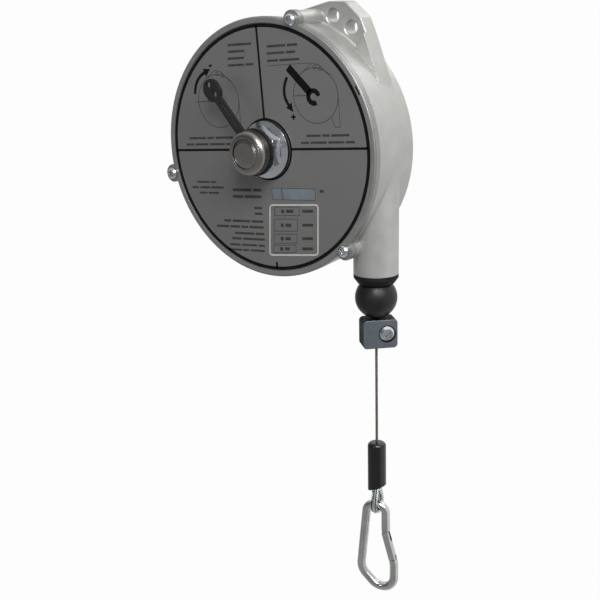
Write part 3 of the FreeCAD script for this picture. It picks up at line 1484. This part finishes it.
def make_rope_eye():
    """The rope's end, from the ferrule round the thimble and back into the ferrule."""
    rope, spread = size("eye_rope_radius"), size("ferrule_spread")
    middle = worked_out(THIMBLE_END) + size("thimble_eye_radius")
    reach = size("thimble_eye_radius") + size("thimble_sheet") + rope + size("running_gap")
    top, neck = worked_out(FERRULE_MIDDLE), worked_out(FERRULE_END) - rope - 0.4
    end = worked_out(FERRULE_TOP) - 1
    bend = 6 * rope

    def touch(side, start):
        """Where the flank from the ferrule's end touches the circle round the eye."""
        far = math.hypot(start, neck - middle)
        bearing = math.atan2(neck - middle, start)
        spot = bearing - side * math.acos(reach / far)
        return V(0, reach * math.cos(spot), middle + reach * math.sin(spot))

    left, right = touch(-1, 0.0), touch(1, spread)
    legs = [
        rounded_path([V(0, 0, top), V(0, 0, neck), left], [bend]).Edges,
        [Part.Arc(left, V(0, 0, middle - reach), right).toShape()],
        rounded_path([right, V(0, spread, neck), V(0, spread, end)], [bend]).Edges,
    ]
    loop = Part.Wire([edge for leg in legs for edge in leg])
    return shaped("rope_eye", rod(loop, rope), ROPE, turn="sizes.hook_turn")


# Snap hook: a bent wire body with a sprung gate on its right side


HOOK_TOP = f"({THIMBLE_END} + 2 * sizes.hook_wire_radius + sizes.hang_gap)"


def hook_path():
    """The middle line of the snap hook, from the latch round the belly and neck to the pivot."""
    wire, top = size("hook_wire_radius"), worked_out(HOOK_TOP)
    low = top - size("hook_length") + wire
    neck, belly = size("hook_neck_half"), size("hook_belly_half")
    start, along, length = gate_frame()
    high, shift = top - wire, 0.5
    points = [
        start + along * (length + size("hook_latch_gap")),
        start + along * (length + size("hook_latch_stub")),
        V(belly, 0, low),
        V(-wire * 0.3, 0, low),
        V(-belly, 0, low - wire + size("hook_belly_rise")),
        V(-neck - shift, 0, high),
        V(neck - shift, 0, high),
        V(neck - shift, 0, start.z + wire + size("gate_slot_gap")),
    ]
    belly_bend, top_bend = size("hook_belly_bend"), neck - size("hook_bend_gap")
    bends = [belly_bend, size("hook_foot_bend"), belly_bend, belly_bend, top_bend, top_bend]
    return rounded_path(points, bends)


def gate_frame():
    """The pivot of the gate, the direction down the gate and its length to the latch."""
    top = worked_out(HOOK_TOP)
    start = V(size("gate_pivot_across"), 0, top - size("gate_pivot_down"))
    end = V(size("gate_latch_across"), 0, top - size("gate_latch_down"))
    return start, (end - start).normalize(), (end - start).Length


def gate_block(begin, end, wide, half):
    """A bar along the gate's line, wide in the hook's plane and twice half thick across it."""
    start, along, _ = gate_frame()
    side = V(0, 1, 0)
    across = along.cross(side).normalize()
    base = start + along * begin - across * (wide / 2) - side * half
    reach = along * (end - begin)
    corners = [base, base + across * wide, base + across * wide + reach, base + reach]
    return Part.Face(Part.makePolygon(corners + corners[:1])).extrude(side * (2 * half))


def pivot_bar(radius, half):
    """A round bar across the hook's plane through the gate's pivot, twice half long."""
    start, _, _ = gate_frame()
    return Part.makeCylinder(radius, 2 * half, start - V(0, half, 0), V(0, 1, 0))


def make_snap_hook():
    """Bent wire with a flat tang for the gate's pin and a flat tongue at the latch."""
    wire = size("hook_wire_radius")
    bar = rod(hook_path(), wire)
    _, _, length = gate_frame()
    tang = gate_block(-size("tang_above"), size("tang_below"), wire * 1.3, size("tang_half"))
    low, high = length - size("latch_above"), length + size("latch_below")
    tongue = gate_block(low, high, wire * 0.9, size("latch_half"))
    hole = pivot_bar(size("gate_pin_radius") + size("press_gap"), 2 * wire)
    body = bar.fuse([tang, tongue]).cut(hole)
    return shaped("snap_hook", body.removeSplitter(), ROPE, turn="sizes.hook_turn")


def make_gate():
    """A round gate, slotted at the top over the tang and at the bottom over the tongue."""
    wire, gap = size("hook_wire_radius"), size("gate_slot_gap")
    start, along, length = gate_frame()
    bar = Part.makeCylinder(wire, length - size("gate_end_gap") + wire, start - along * wire, along)
    kept = gate_block(0, length, 3 * wire, 2 * wire).fuse(pivot_bar(wire - size("running_gap"), 2 * wire))
    gate = bar.common(kept)
    gate = gate.cut(gate_block(-2 * wire, size("gate_slot"), 3 * wire, size("tang_half") + gap))
    gate = gate.cut(gate_block(length - size("latch_slot"), length + wire, 3 * wire, size("latch_half") + gap))
    gate = gate.cut(pivot_bar(size("gate_pin_radius") + size("running_gap"), 2 * wire))
    return shaped("gate", gate.removeSplitter(), ROPE, turn="sizes.hook_turn")


def make_gate_pin():
    pin = pivot_bar(size("gate_pin_radius"), size("hook_wire_radius") - size("gate_slot_gap"))
    return shaped("gate_pin", pin, ROPE, turn="sizes.hook_turn")


make_housing()
make_cover()
make_label()
make_cover_screws()
make_front_bush()
make_rear_bush()
make_arbor()
make_adjusting_hub()
make_lever()
make_spindle()
make_cap()
make_cap_screw()
make_drum()
make_drum_lid()
make_lid_screws()
make_drum_bushes()
make_mainspring()
make_wound_rope()
make_nipple()
make_ratchet()
make_pawl()
make_pawl_pin()
make_guide_bush()
make_ball()
clamp_half("clamp_front", True)
clamp_half("clamp_back", False)
make_clamp_screw()
make_clamp_nut()
rope_length("rope_lead", "-sizes.side_gap", CLAMP_MIDDLE)
rope_length("rope_tail", CLAMP_MIDDLE, FERRULE_MIDDLE)
make_sleeve()
make_ferrule()
make_thimble()
make_rope_eye()
make_snap_hook()
make_gate()
make_gate_pin()

# Checks and files

doc.recompute()
for item in doc.Objects:
    if {"Invalid", "Error"} & set(item.State):
        raise ValueError(f"{item.Label} is {item.State}")
os.makedirs("parts", exist_ok=True)
for label, piece in PIECES.items():
    if piece.Shape.isNull() or not piece.Shape.isValid():
        raise ValueError(f"{label} has no valid shape")
    piece.Shape.exportStep(f"parts/{label}.step")
    box = piece.Shape.BoundBox
    print(f"{label}: {len(piece.Shape.Solids)} solid, {piece.Shape.Volume:.0f} mm3, "
          f"x {box.XMin:.1f} to {box.XMax:.1f}, y {box.YMin:.1f} to {box.YMax:.1f}, "
          f"z {box.ZMin:.1f} to {box.ZMax:.1f}")
print(f"{len(PIECES)} pieces")
